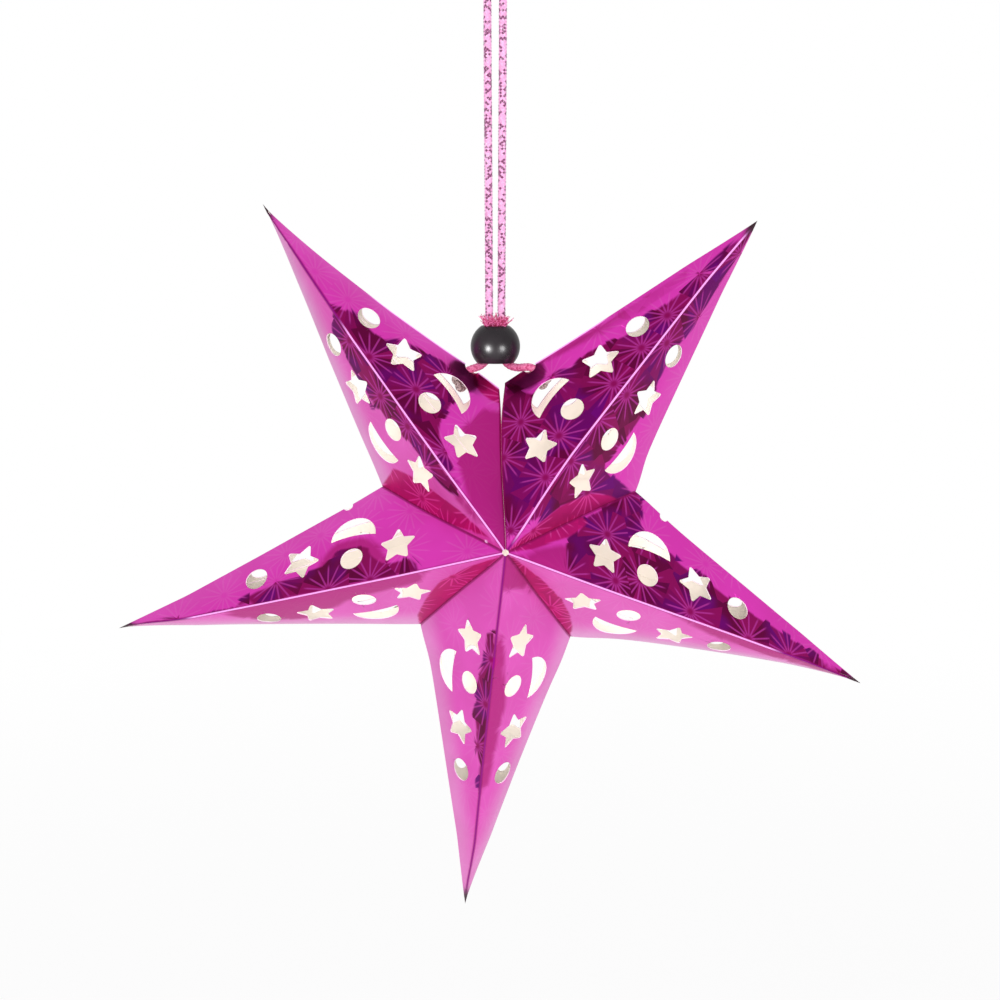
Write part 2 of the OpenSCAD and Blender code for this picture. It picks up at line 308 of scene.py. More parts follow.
def makePaper(name, colour, bumpStrength):
    s = Shader(name)
    where = s.node("ShaderNodeTexCoord").outputs["Object"]
    grain = s.noise(where, 900.0, 4.0, 0.6)
    mottle = s.noise(where, 60.0, 2.0)
    shade = tuple(value * 0.93 for value in colour[:3]) + (1,)
    tone = s.blend(s.step(mottle, 0.35, 0.65), colour, shade)
    # painted shade: near the seam's point, and along its lips above the centre, the card is painted mauve as
    # shade with the foil's pink reflection in it
    gap = s.node("ShaderNodeVectorMath", operation="DISTANCE")
    s.join(where, gap.inputs[0])
    gap.inputs[1].default_value = tuple(value * mm for value in paper["seam"])
    lip = s.math("ABSOLUTE", s.less(s.parts(where)[0], paper["lips"] * mm))
    lips = s.times(s.step(lip, 0.0016, 0.0028, 0.9, 0.0), s.step(s.parts(where)[2], -0.214, -0.206))
    seamShade = s.math("MAXIMUM", s.step(gap.outputs["Value"], 0.008, 0.030, 0.8, 0.0), lips)
    tone = s.blend(seamShade, tone, paper["mauve"])
    s.set(**{"Base Color": tone, "Roughness": 0.8, "Specular IOR Level": 0.25})
    s.bump(grain, bumpStrength, 0.0001)
    return s.material


foilSkin = makeFoil()
paperInside = makePaper("cream_card_inside", paper["inside"], 0.25)
paperCut = makePaper("cut_card_edge", paper["cut"], 0.15)
print("foil and paper ready")


# Painted reflections and highlights on the foil, as outlines in mm along and away from the ridge of each
# facet:
# the dark, red, dim and black zones paint what the foil mirrors, and glint a painted glint. A facet is named
# by its arm and its corner, 0 for the clockwise one and 1 for the other. "wash" says how much painted
# reflection of the pale surroundings it gets, and two spans along the ridge say where a painted highlight
# runs on its ridge and on its outer fold ("rim")
paint = {
    ("arm_top_left", 0): {
        "dark": [[(26, 0), (116, -1), (114, 4), (110, 8), (98, 9.5), (94, 12), (92, 19), (82, 26), (76, 31),
                  (64, 31), (60, 23), (56, 14), (50, 8), (40, 5), (30, 3)]],
        "red": [[(56, 37), (62, 35), (66, 38), (72, 44), (70, 49), (52, 49), (50, 44)]],
        "dim": [[(0, 0), (24, 0), (44, 10), (50, 22), (52, 34), (46, 46)]],
        "black": [[(60, 30), (68, 29), (76, 32), (75, 38), (68, 42), (60, 37)]],
        "ridgeHighlight": (0, 104), "rim": (52, 112), "wash": 0.1},
    ("arm_top_left", 1): {
        "dark": [[(27, 0), (113, -1), (111, 4), (108, 8), (100, 9), (92, 10.5), (86, 11), (80, 13), (77, 17),
                  (74, 12), (68, 12), (58, 10), (52, 9), (36, 7.5), (28, 4)]],
        "red": [[(8, 3), (22, 7), (36, 14), (46, 21), (54, 28), (54.5, 50), (48, 44)]],
        "dim": [[(14, 0), (28, 0), (28, 5), (16, 3)]],
        "glint": [[(6.6, 3.6), (8.0, 3.4), (9.2, 6.4), (8.0, 7.4)]],
        "ridgeHighlight": (0, 104), "wash": 0.8},
    ("arm_left", 0): {
        "dark": [[(34, 0), (168, -1), (168, 1), (140, 1), (114, 1), (111, 4), (104, 7), (98, 8.5), (92, 9.5),
                  (80, 10.5), (74, 12), (71, 18), (57, 18), (54, 12), (50, 8.5), (38, 7), (35, 3)]],
        "dim": [[(46, 6), (78, 9), (76, 17), (70, 22), (58, 22), (50, 14)]],
        "glint": [[(6.4, 3.0), (7.4, 3.2), (7.2, 6.2), (6.2, 6.0)]],
        "ridgeHighlight": (0, 132), "wash": 0.1},
    ("arm_left", 1): {
        "red": [[(3, 1), (16, 4), (30, 10), (41, 22), (50, 35), (53, 43), (53, 52), (30, 32), (6, 12)]],
        "dim": [[(30, -1), (120, -1), (118, 3), (112, 9), (104, 15), (96, 17), (90, 19), (84, 15), (76, 14),
                 (70, 10), (58, 9), (36, 7)]],
        "ridgeHighlight": (0, 132), "wash": 0.75},
    ("arm_bottom", 0): {
        "dark": [[(34, -1), (112, -1), (108, 2), (96, 2.5), (90, 5), (80, 7), (76, 9), (68, 7), (62, 9),
                  (56, 8), (50, 5), (44, 6), (38, 7), (35, 3)]],
        "wash": 0.55},
    ("arm_bottom", 1): {
        "dim": [[(36, -1), (112, -1), (108, 4), (96, 6), (80, 7), (72, 9), (62, 8), (54, 6), (44, 5),
                 (38, 4)],
                [(0, -1), (16, -1), (18, 8), (24, 20), (10, 12)]],
        "wash": 0.6},
    ("arm_right", 0): {
        "red": [[(3, 1), (20, 8), (36, 18), (44, 26), (50, 35), (55, 46), (55, 54), (30, 32), (6, 10)]],
        "dim": [[(70, -1), (168, -1), (160, 3), (140, 4), (115, 6), (100, 5.5), (85, 3)]],
        "ridgeHighlight": (0, 122), "wash": 0.85},
    ("arm_right", 1): {
        "dark": [[(28, 0), (162, -1), (158, 2), (140, 6), (120, 11), (110, 14), (100, 16.5), (94, 19),
                  (88, 23), (80, 22), (73, 27), (62, 26), (58.5, 34), (58.5, 52), (48, 44), (34, 28),
                  (26, 14)]],
        "red": [[(1, 0.5), (10, 5), (26, 16), (36, 26), (30, 30), (8, 12)]],
        "dim": [[(4, -1), (30, -1), (32, 16), (12, 5)]],
        "ridgeHighlight": (0, 122), "wash": 0.0},
    ("arm_top_right", 0): {
        "dark": [[(14, -2), (162, -1), (160, 3), (150, 5), (135, 8), (120, 10), (100, 11), (92, 15), (90, 20),
                  (72, 21), (54.5, 21), (54.5, 52), (48, 44), (44, 28), (30, 12), (18, 5)]],
        "red": [[(0, 0), (10, 3), (30, 12), (44, 24), (48, 34), (50, 46), (30, 34), (8, 12)]],
        "ridgeHighlight": (9, 156), "wash": 0.1},
    ("arm_top_right", 1): {
        "dark": [[(4, 0), (162, -1), (150, 3), (130, 6), (118, 9), (112, 12), (100, 14), (93, 20), (84, 25),
                  (78, 25), (74, 30), (62, 32), (58, 46), (48, 46), (16, 18)]],
        "dim": [[(74, 38), (98, 23), (130, 8), (134, 10), (100, 27), (76, 42)]],
        "black": [[(58, 38), (64, 33), (72, 33), (75, 38), (70, 46), (58, 47)]],
        "ridgeHighlight": (9, 156), "rim": (70, 100), "wash": 0.0},
}

sheet = {
    "gridAlong": 3.5,       # mm between the cuts across an arm
    "gridAcross": 3.0,      # mm between the cuts along an arm
    "crown": 0.5,           # mm that a facet's middle stands proud
    "crownReach": 12.0,     # mm from a fold to where it does so fully
    "valleyReach": 16.0,    # mm from a valley within which the arm doesn't shift
    "foldReach": 11.0,      # mm from a silhouette fold within which the fold draws the card in
}

# how the folded card has settled, in mm (to the right, up): each arm's inner and outer part and its tip,
# and how far the silhouette fold at each of its corners is drawn in
settled = {
    "arm_top_left": {"inner": (-0.15, 1.05), "outer": (-0.5, 0.1), "tip": (0.5, 0.35), "drawnIn": (1.7, 1.4)},
    "arm_left": {"inner": (0.7, -0.1), "outer": (0.4, 0.35), "tip": (-1.35, 2.7), "drawnIn": (0.0, 1.9)},
    "arm_bottom": {"inner": (1.0, 0.15), "outer": (0.0, 0.8), "tip": (-2.5, 0.9), "drawnIn": (-0.3, 1.4)},
    "arm_right": {"inner": (-0.1, 0.3), "outer": (0.1, 0.0), "tip": (0.3, -1.6), "drawnIn": (2.0, 0.4)},
    "arm_top_right": {"inner": (-1.4, -0.3), "outer": (-0.9, -0.85), "tip": (1.3, -1.35),
                      "drawnIn": (-0.4, 0.4)},
}
# the front point and the corners between the arms: where they are from the star's centre, and their shift
nudges = [
    ((0, -48, 0), (2.15, 0.2), 30),
    ((52.3, 0, 15.2), (1.45, 0.5), 16),
    ((27.7, 0, -41.6), (0.6, -1.7), 16),
    ((-31.3, 0, -38.0), (-0.6, -0.25), 16),
    ((-47.1, 0, 17.5), (0.6, 0.15), 16),
    ((0.5, 0, 57.0), (0.2, 0.9), 16),
]
# the lips of the open seam nearly touch up to this share of their length, from the front or back point
seam = {"closedTo": 0.74, "gap": 0.06, "width": 2.2, "length": 74.0, "reach": 12.0}


def inPlane(distance, angle):
    return Vector((distance * math.cos(math.radians(angle)), 0, distance * math.sin(math.radians(angle))))


def deselectAll():
    if bpy.context.object and bpy.context.object.mode != "OBJECT":
        bpy.ops.object.mode_set(mode="OBJECT")
    bpy.ops.object.select_all(action="DESELECT")


def makeActive(piece):
    deselectAll()
    piece.select_set(True)
    bpy.context.view_layer.objects.active = piece


def newPiece(name, mesh):
    piece = bpy.data.objects.new(name, mesh)
    bpy.context.scene.collection.objects.link(piece)
    return piece


# the four outer facets of an arm: their point, ridge direction, direction across, outward normal
def facetsOf(arm):
    tip = inPlane(star["tipRadius"], arm["tip"])
    found = []
    for side, depth in (("front", -star["halfDepth"]), ("back", star["halfDepth"])):
        point = Vector((0, depth, 0))
        along = (tip - point).normalized()
        for number, (direction, distance) in enumerate(arm["corners"]):
            corner = inPlane(distance, direction)
            across = (corner - point) - (corner - point).dot(along) * along
            across.normalize()
            normal = along.cross(across)
            if normal.dot(point) < 0:
                normal = -normal
            spread = Vector(((corner - point).dot(along), (corner - point).dot(across)))
            fold = Vector(((tip - point).dot(along), 0)) - spread
            found.append({"side": side, "number": number, "point": point, "along": along, "across": across,
                          "normal": normal, "corner": spread, "fold": fold.normalized(),
                          "length": (tip - point).length})
    return found


# bisects a sheet along and across its arm, so that it can bend
def cutIntoGrid(piece, name):
    makeActive(piece)
    bpy.ops.object.mode_set(mode="EDIT")
    bpy.ops.mesh.select_all(action="SELECT")
    bpy.ops.mesh.remove_doubles(threshold=2e-6)
    bpy.ops.mesh.dissolve_limited(angle_limit=math.radians(0.3))
    centre = Vector(star["centre"]) * mm
    direction = inPlane(1, arms[name]["tip"])
    steps = int(star["tipRadius"] / sheet["gridAlong"])
    for step in range(1, steps):
        bpy.ops.mesh.select_all(action="SELECT")
        bpy.ops.mesh.bisect(plane_co=centre + direction * step * sheet["gridAlong"] * mm, plane_no=direction,
                            threshold=1e-6)
    rows = int(star["halfDepth"] / sheet["gridAcross"])
    for row in range(-rows + 1, rows):
        bpy.ops.mesh.select_all(action="SELECT")
        level = centre + Vector((0, (row + 0.37) * sheet["gridAcross"] * mm, 0))
        bpy.ops.mesh.bisect(plane_co=level, plane_no=(0, 1, 0), threshold=1e-6)
    bpy.ops.mesh.select_all(action="SELECT")
    bpy.ops.mesh.remove_doubles(threshold=2e-6)
    bpy.ops.mesh.quads_convert_to_tris(quad_method="BEAUTY", ngon_method="BEAUTY")
    bpy.ops.object.mode_set(mode="OBJECT")


# how far points lie inside one of some outlines, in mm; outside them the value is negative
def depthInside(outlines, along, across):
    deepest = np.full(along.shape, -50.0)
    for outline in outlines:
        best = np.full(along.shape, 1e6)
        inside = np.zeros(along.shape, bool)
        for (u0, v0), (u1, v1) in zip(outline, outline[1:] + outline[:1]):
            du, dv = u1 - u0, v1 - v0
            share = np.clip(((along - u0) * du + (across - v0) * dv) / (du * du + dv * dv), 0, 1)
            best = np.minimum(best, np.hypot(along - u0 - share * du, across - v0 - share * dv))
            crossing = (v0 > across) != (v1 > across)
            inside ^= crossing & (along < u0 + (across - v0) * du / (dv if dv else 1e-9))
        deepest = np.maximum(deepest, np.where(inside, best, -best))
    return deepest


# a stretch of ridge that no facet reaches
nowhere = (-20, -10)


# 1 between two places along the ridge, fading to 0 over 4 mm outside them
def within(span, along):
    return np.clip(1 - np.maximum(span[0] - along, along - span[1]) / 4, 0, 1)


# gives the sheet its finishes, its place values and the outlines of its painted reflections and highlights,
# then bends it
def finishSheet(piece, name):
    facets = facetsOf(arms[name])
    mesh = piece.data
    for material in (foilSkin, paperInside, paperCut):
        mesh.materials.append(material)
    centre = Vector(star["centre"])
    points = [vertex.co / mm - centre for vertex in mesh.vertices]
    values = {key: np.full((len(mesh.loops), 3), -50.0) for key in ("place", "paint", "wash", "lines")}
    which = np.zeros(len(mesh.polygons), np.float32)
    home = np.zeros(len(mesh.loops), int)
    for face in mesh.polygons:
        middle = sum((points[i] for i in face.vertices), Vector()) / len(face.vertices)
        best = max(range(4), key=lambda i: facets[i]["normal"].dot(middle - facets[i]["point"])
                   - (100 if (facets[i]["side"] == "front") == (middle.y > 0) else 0))
        facet = facets[best]
        depth = facet["normal"].dot(middle - facet["point"])
        facing = facet["normal"].dot(face.normal)
        if depth > -0.1 and facing > 0.3:
            face.material_index = 0
        elif abs(facing) > 0.6:
            face.material_index = 1
        else:
            face.material_index = 2
        which[face.index] = list(arms).index(name) * 4 + best
        for loop in face.loop_indices:
            home[loop] = best
    corner = np.array([points[loop.vertex_index] for loop in mesh.loops])
    for index, facet in enumerate(facets):
        mine = home == index
        local = corner[mine] - np.array(facet["point"])
        u, v = local @ np.array(facet["along"]), local @ np.array(facet["across"])
        lean = facet["corner"].normalized()
        zones = paint[(name, facet["number"])]
        values["place"][mine] = np.stack([u, v, u * lean.y - v * lean.x], axis=1)
        gaps = {key: depthInside(zones.get(key, []), u, v)
                for key in ("dark", "red", "dim", "black", "glint")}
        values["paint"][mine] = np.stack([gaps["dark"], gaps["red"], gaps["dim"]], axis=1)
        edge = np.abs((facet["length"] - u) * facet["fold"].y + v * facet["fold"].x)
        values["wash"][mine] = np.stack([gaps["black"], edge, np.full(u.shape, zones["wash"])], axis=1)
        pale = [within(zones.get(key, nowhere), u) for key in ("ridgeHighlight", "rim")]
        values["lines"][mine] = np.stack([*pale, gaps["glint"]], axis=1)
    for key in values:
        mesh.attributes.new(key, "FLOAT_VECTOR", "CORNER").data.foreach_set("vector", values[key].ravel())
    mesh.attributes.new("facet", "FLOAT", "FACE").data.foreach_set("value", which)

    # let the card settle, and each facet stand a little proud in its middle
    for vertex, point in zip(mesh.vertices, points):
        facet = max(facets, key=lambda f: f["normal"].dot(point - f["point"])
                    - (100 if (f["side"] == "front") == (point.y > 0) else 0))
        vertex.co = (settle(point, facet, name) + centre) * mm


def smooth(share):
    share = min(1.0, max(0.0, share))
    return share * share * (3 - 2 * share)


# where a point of the true star has moved to, both from the star's centre
def settle(point, facet, name):
    arm = settled[name]
    local = point - facet["point"]
    u, v = local.dot(facet["along"]), local.dot(facet["across"])
    lean = facet["corner"].normalized()
    toValley = max(0.0, u * lean.y - v * lean.x)
    toEdge = max(0.0, abs((facet["length"] - u) * facet["fold"].y + v * facet["fold"].x))
    crown = min(1.0, min(max(0.0, v), toValley, toEdge) / sheet["crownReach"])
    moved = point + facet["normal"] * sheet["crown"] * crown * (2 - crown)
    # along the arm
    tip = inPlane(star["tipRadius"], arms[name]["tip"])
    out = point.dot(inPlane(1, arms[name]["tip"]))
    shift = []
    for i in (0, 1):
        nearTip = 0.6 * arm["outer"][i] + 0.4 * arm["tip"][i] * 0.6
        shift.append(np.interp(out, (0, 45, 95, 128, star["tipRadius"]),
                               (0, arm["inner"][i], arm["outer"][i], nearTip, arm["tip"][i])))
    moved += Vector((shift[0], 0, shift[1])) * smooth(toValley / sheet["valleyReach"])
    # the silhouette folds, drawn in most towards the tip
    fold = tip - inPlane(*reversed(arms[name]["corners"][facet["number"]]))
    share = 1 - min(1.0, max(0.0, (point - tip).length / fold.length))
    inward = Vector((-fold.z, 0, fold.x)).normalized() * (1 if facet["number"] == 0 else -1)
    drawn = arm["drawnIn"][facet["number"]] * math.sin(math.pi * (1 - share) ** 0.6)
    moved += inward * drawn * max(0.0, 1 - toEdge / sheet["foldReach"]) ** 2
    for place, nudge, reach in nudges:
        weight = math.exp(-((point - Vector(place)).length / reach) ** 2)
        moved += Vector((nudge[0], 0, nudge[1])) * weight
    # the seam's lips
    if (name, facet["number"]) in (("arm_top_left", 0), ("arm_top_right", 1)):
        share = (point - facet["point"]).length / seam["length"]
        opening = max(0.0, (share - seam["closedTo"]) / (1 - seam["closedTo"]))
        left = seam["gap"] + seam["width"] * opening ** 1.5
        pull = max(0.0, seam["width"] * share - left) / 2 * max(0.0, 1 - toValley / seam["reach"]) ** 2
        moved.x += pull if name == "arm_top_left" else -pull
    return moved


def makeArm(name):
    piece = newPiece("foil_" + name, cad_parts[name].data.copy())
    piece.data.materials.clear()
    cutIntoGrid(piece, name)
    finishSheet(piece, name)
    makeActive(piece)
    bpy.ops.object.shade_smooth_by_angle(angle=math.radians(12))
    bpy.ops.object.modifier_add(type="WEIGHTED_NORMAL")
    piece.modifiers[0].keep_sharp = True
    bpy.ops.object.modifier_apply(modifier=piece.modifiers[0].name)
    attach(piece, "lantern")
    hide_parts(name)
    print(name, "has", len(piece.data.polygons), "faces")


for armName in arms:
    makeArm(armName)


# the cord follows the same route as its solid, from the left knot over the hook to the right knot
cord = {
    "diameter": 3.2,
    "route": [
        (-13.4, -161.7), (-12.8, -159.4), (-11.2, -157.6), (-9.2, -156.6), (-7.4, -156), (-5.6, -155.2),
        (-3.3, -152.8), (-2.4, -149.6), (-2.4, -139), (-2.5, -110), (-2.7, -70), (-2.9, -36), (-3, -15.5),
        (-3.6, -12.5), (-5, -10.3), (-6.5, -8), (-7, -5.4), (-6.5, -2.7), (-4.9, -0.4), (-2.7, 1.1), (0, 1.6),
        (2.7, 1.1), (4.9, -0.4), (6.5, -2.7), (7, -5.4), (6.5, -8), (5, -10.3), (3.6, -12.5),
        (3, -15.5), (2.9, -36), (2.7, -70), (2.5, -110), (2.4, -139), (2.4, -149.6),
        (3.3, -152.8), (5.6, -155.2), (8.9, -156.1), (11.6, -155.9), (14.1, -156.1), (17, -157.8),
        (18.5, -160.7)],
    "sides": 20,
    "ringGap": 0.4,
    "strandsRound": 3,       # plaited strands each way round the cord
    "plaitLength": 7.2,      # mm of cord in which a strand goes once round
    "shadeBelow": (-152.0, -155.0),   # heights between which the cord is painted crimson under the bead, as painted shade
    "relief": 0.18,          # mm that a strand stands proud
}


# points along the curve that passes through the route's points, about gap apart
def smoothPath(route, gap):
    points = [Vector((x, 0, z)) for x, z in route]
    ends = [points[0]] + points + [points[-1]]
    fine = []
    for i in range(1, len(ends) - 2):
        p0, p1, p2, p3 = ends[i - 1:i + 3]
        count = max(2, round((p2 - p1).length / gap))
        for k in range(count):
            t = k / count
            fine.append(0.5 * (2 * p1 + (p2 - p0) * t + (2 * p0 - 5 * p1 + 4 * p2 - p3) * t * t
                               + (3 * p1 - p0 - 3 * p2 + p3) * t ** 3))
    fine.append(points[-1])
    return fine


def pathLength(path):
    return sum((b - a).length for a, b in zip(path, path[1:]))


def makeCordMaterial():
    s = Shader("pink_braid")
    run, angle = s.parts(s.attribute("place").outputs["Vector"])[:2]
    around = s.times(angle, cord["strandsRound"] / math.pi)
    along = s.times(run, 2 * cord["strandsRound"] / cord["plaitLength"])
    first, second = s.plus(around, along), s.less(around, along)
    cell = s.node("ShaderNodeTexWhiteNoise", noise_dimensions="3D")
    s.join(s.vector(s.math("FLOOR", first), s.math("FLOOR", second), 1.7), cell.inputs["Vector"])
    hump = s.times(s.math("SINE", s.times(s.math("FRACT", first), math.pi)),
                  s.math("SINE", s.times(s.math("FRACT", second), math.pi)))
    where = s.node("ShaderNodeTexCoord").outputs["Object"]
    fibres = s.noise(where, 5200.0, 2.0)
    glitter = s.noise(where, 2600.0, 1.0)
    colour = s.blend(cell.outputs["Value"], (0.78, 0.27, 0.56, 1), (0.98, 0.52, 0.84, 1))
    colour = s.blend(s.times(fibres, 0.5), colour, (0.88, 0.36, 0.64, 1))
    fleck = s.times(s.step(cell.outputs["Value"], 0.36, 0.40, 1.0, 0.0), s.step(hump, 0.04, 0.22))
    colour = s.blend(s.times(fleck, 0.95), colour, (0.13, 0.010, 0.075, 1))
    # painted shade in the grooves between the strands
    colour = s.blend(s.step(hump, 0.01, 0.10, 0.30, 0.0), colour, (0.30, 0.03, 0.15, 1))
    colour = s.blend(s.step(glitter, 0.62, 0.68), colour, (1.0, 0.80, 0.95, 1))
    # painted shade: below the bead, between the arms, the cord is painted crimson
    shade = s.step(s.parts(where)[2], *(height * mm for height in cord["shadeBelow"]), 0.0, 0.75)
    colour = s.blend(shade, colour, s.blend(glitter, (0.62, 0.02, 0.13, 1), (0.86, 0.14, 0.36, 1)))
    s.set(**{"Base Color": colour, "Roughness": 0.5, "Metallic": 0.1})
    s.bump(s.plus(hump, s.times(fibres, 0.3)), 0.6, 0.0003)
    return s.material


def makeCord():
    path = smoothPath(cord["route"], cord["ringGap"])
    radius = cord["diameter"] / 2
    sides = cord["sides"]
    runs = [0.0]
    for before, after in zip(path, path[1:]):
        runs.append(runs[-1] + (after - before).length)
    vertices = []
    for i, point in enumerate(path):
        ahead = (path[min(i + 1, len(path) - 1)] - path[max(i - 1, 0)]).normalized()
        side = Vector((-ahead.z, 0, ahead.x))
        twist = 2 * math.pi * runs[i] / cord["plaitLength"] * cord["strandsRound"]
        for k in range(sides):
            angle = 2 * math.pi * k / sides
            phase = cord["strandsRound"] * angle
            over = abs(math.sin(phase + twist) * math.sin(phase - twist))
            lift = radius - cord["relief"] * (1 - over)
            outward = side * lift * math.sin(angle) + Vector((0, lift * math.cos(angle), 0))
            vertices.append((point + outward) * mm)
    faces, placeValues = [], []
    for i in range(len(path) - 1):
        for k in range(sides):
            after = (k + 1) % sides
            faces.append((i * sides + k, i * sides + after, (i + 1) * sides + after, (i + 1) * sides + k))
            turns = (2 * math.pi * k / sides, 2 * math.pi * (k + 1) / sides)
            placeValues += [(runs[i], turns[0], 0), (runs[i], turns[1], 0), (runs[i + 1], turns[1], 0),
                            (runs[i + 1], turns[0], 0)]
    for i in (0, len(path) - 1):
        faces.append(tuple(i * sides + k for k in range(sides)))
        placeValues += [(runs[i], 0, 0)] * sides
    mesh = bpy.data.meshes.new("braided_cord")
    mesh.from_pydata(vertices, [], faces)
    mesh.attributes.new("place", "FLOAT_VECTOR", "CORNER").data.foreach_set(
        "vector", np.array(placeValues, np.float32).ravel())
    mesh.materials.append(cordSkin)
    piece = newPiece("braided_cord", mesh)
    makeActive(piece)
    bpy.ops.object.mode_set(mode="EDIT")
    bpy.ops.mesh.select_all(action="SELECT")
    bpy.ops.mesh.normals_make_consistent(inside=False)
    bpy.ops.object.mode_set(mode="OBJECT")
    bpy.ops.object.shade_smooth()
    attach(piece, "lantern")
    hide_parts("hanging_cord")
    return piece, path


# short loose ends of yarn that stick out between and in front of the strands, on top of the bead
tuft = {
    "foot": (0.0, -1.6, -140.0),
    "spread": (4.0, 2.4),
    "hairs": 150,
    "length": (1.5, 6.0),
    "width": 0.24,
    "bends": 4,
    "aside": 0.10,           # mm that each bend goes further to one side, per mm of length
    "taper": 0.84,
    "lean": (0.9, 0.3),      # how far a loose end leans: to either side or to the front, and to the back
}


# one upright loose end, 1 mm long, thinner and more bent towards its tip
def modelHair():
    deselectAll()
    bpy.ops.mesh.primitive_circle_add(vertices=4, radius=tuft["width"] * mm, fill_type="NGON",
                                      location=(0, 0, 0))
    hair = bpy.context.object
    bpy.ops.object.mode_set(mode="EDIT")
    bpy.ops.mesh.select_all(action="SELECT")
    for bend in range(tuft["bends"]):
        aside = tuft["aside"] * bend * mm
        bpy.ops.mesh.extrude_region_move(TRANSFORM_OT_translate={"value": (aside, 0, mm / tuft["bends"])})
        bpy.ops.transform.resize(value=(tuft["taper"], tuft["taper"], 1))
    bpy.ops.mesh.select_all(action="SELECT")
    bpy.ops.mesh.normals_make_consistent(inside=False)
    bpy.ops.object.mode_set(mode="OBJECT")
    return hair


def makeTuft():
    dice = random.Random(4)
    first = modelHair()
    hairs = []
    for number in range(tuft["hairs"]):
        foot = Vector(tuft["foot"]) + Vector((dice.uniform(-1, 1) * tuft["spread"][0],
                                              dice.uniform(-1, 0.6) * tuft["spread"][1], 0))
        far, back = tuft["lean"]
        lean = Vector((dice.uniform(-far, far), dice.uniform(-far, back), 1.0))
        turn = lean.to_track_quat("Z", "Y").to_matrix().to_4x4()
        turn = turn @ Matrix.Rotation(dice.uniform(0, 6.28), 4, "Z")
        hair = newPiece("yarn_end", first.data.copy())
        hair.data.transform(Matrix.Translation(foot * mm) @ turn
                            @ Matrix.Diagonal((1, 1, dice.uniform(*tuft["length"]), 1)))
        hairs.append(hair)
    bpy.data.objects.remove(first)
    makeActive(hairs[0])
    for hair in hairs:
        hair.select_set(True)
    bpy.ops.object.join()
    made = bpy.context.object
    made.name = "yarn_tuft"
    made.data.name = "yarn_tuft"
    made.data.materials.clear()
    made.data.materials.append(makeYarn("crimson_yarn", (0.48, 0.012, 0.10, 1), (0.92, 0.22, 0.50, 1)))
    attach(made, "lantern")
    return made


def makeYarn(name, dark, light):
    s = Shader(name)
    where = s.node("ShaderNodeTexCoord").outputs["Object"]
    fibres = s.step(s.noise(where, 1500.0, 1.0), 0.42, 0.58)
    s.set(**{"Base Color": s.blend(fibres, dark, light), "Roughness": 0.6})
    return s.material


knot = {
    "yarnRadius": 1.25,      # of the cord where it is drawn tight, mm
    "size": 0.95,            # mm per unit of the trefoil's formula
    "flatness": 1.6,
    "points": 36,
}


# a tied knot at the cord's end: a closed trefoil of the same cord, drawn tight
def makeKnot(name, end):
    curve = bpy.data.curves.new(name, "CURVE")
    curve.dimensions = "3D"
    curve.bevel_depth = knot["yarnRadius"] * mm
    curve.bevel_resolution = 4
    loop = curve.splines.new("NURBS")
    loop.points.add(knot["points"] - 1)
    for i in range(knot["points"]):
        t = 2 * math.pi * i / knot["points"]
        bend = Vector((math.sin(t) + 2 * math.sin(2 * t), -math.sin(3 * t) * knot["flatness"],
                       math.cos(t) - 2 * math.cos(2 * t)))
        loop.points[i].co = (*((Vector((end[0], 0, end[1])) + bend * knot["size"]) * mm), 1)
    loop.use_cyclic_u = True
    made = newPiece(name, curve)
    makeActive(made)
    bpy.ops.object.convert(target="MESH")
    made.data.materials.clear()
    made.data.materials.append(knotSkin)
    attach(made, "lantern")
    return made


cordSkin = makeCordMaterial()
# the knots, inside the star, are painted in shade: a grey-mauve yarn in place of the cord's pink
knotSkin = makeYarn("shaded_yarn", (0.16, 0.10, 0.11, 1), (0.46, 0.34, 0.36, 1))
cordPiece, cordPath = makeCord()
knots = [makeKnot("knot_left", cord["route"][0]), makeKnot("knot_right", cord["route"][-1]), makeTuft()]
print("cord is", round(pathLength(cordPath) * mm, 4), "m long")


bead = {
    "centre": (0, 0, -147.7),
    "radius": 9.7,
    "top": 8.1,
    "bore": 4.6,
    "bendX": 8.9,
    "bendBelow": 1.9,
    "mouth": 4.7,
    "edge": 0.35,
}


def makeLacquer():
    s = Shader("black_lacquer")
    where = s.node("ShaderNodeTexCoord").outputs["Object"]
    cloud = s.noise(where, 160.0, 3.0)
    orange = s.noise(where, 900.0, 2.0)
    s.set(**{"Base Color": s.blend(cloud, (0.004, 0.003, 0.004, 1), (0.010, 0.007, 0.009, 1)),
             "Roughness": s.step(cloud, 0.3, 0.7, 0.25, 0.32), "Specular IOR Level": 0.32})
    s.bump(orange, 0.08, 0.0002)
    return s.material


# the bead's section, from the top of its bore out over the ball and back up through its mouth
def beadProfile():
    r, top, bore = bead["radius"], bead["top"], bead["bore"]
    edge = bead["edge"]
    flat = math.sqrt(r * r - top * top)
    points = [(bore, 0.0), (bore, top - edge), (bore + edge * 0.3, top - edge * 0.3),
              (bore + edge * 0.9, top), (max(flat - 0.2, bore + edge), top - 0.02)]
    startAngle = math.degrees(math.asin(top / r))
    # the ball meets the mouth's rounding where both have the same height
    rim = min((abs(-math.sqrt(r * r - x * x) + bead["bendBelow"]
                   + math.sqrt(max(0.0, bead["mouth"] ** 2 - (bead["bendX"] - x) ** 2))), x)
              for x in np.arange(6.5, 8.8, 0.01))[1]
    endAngle = -math.degrees(math.acos(rim / r))
    for angle in np.linspace(startAngle - 1.5, endAngle + 1.0, 40):
        points.append((r * math.cos(math.radians(angle)), r * math.sin(math.radians(angle))))
    mouthStart = math.degrees(math.acos((rim - bead["bendX"]) / bead["mouth"]))
    for angle in np.linspace(mouthStart, 180, 12):
        x = bead["bendX"] + bead["mouth"] * math.cos(math.radians(angle))
        z = -bead["bendBelow"] - bead["mouth"] * math.sin(math.radians(angle))
        if x > bore:
            points.append((x, z))
    return points


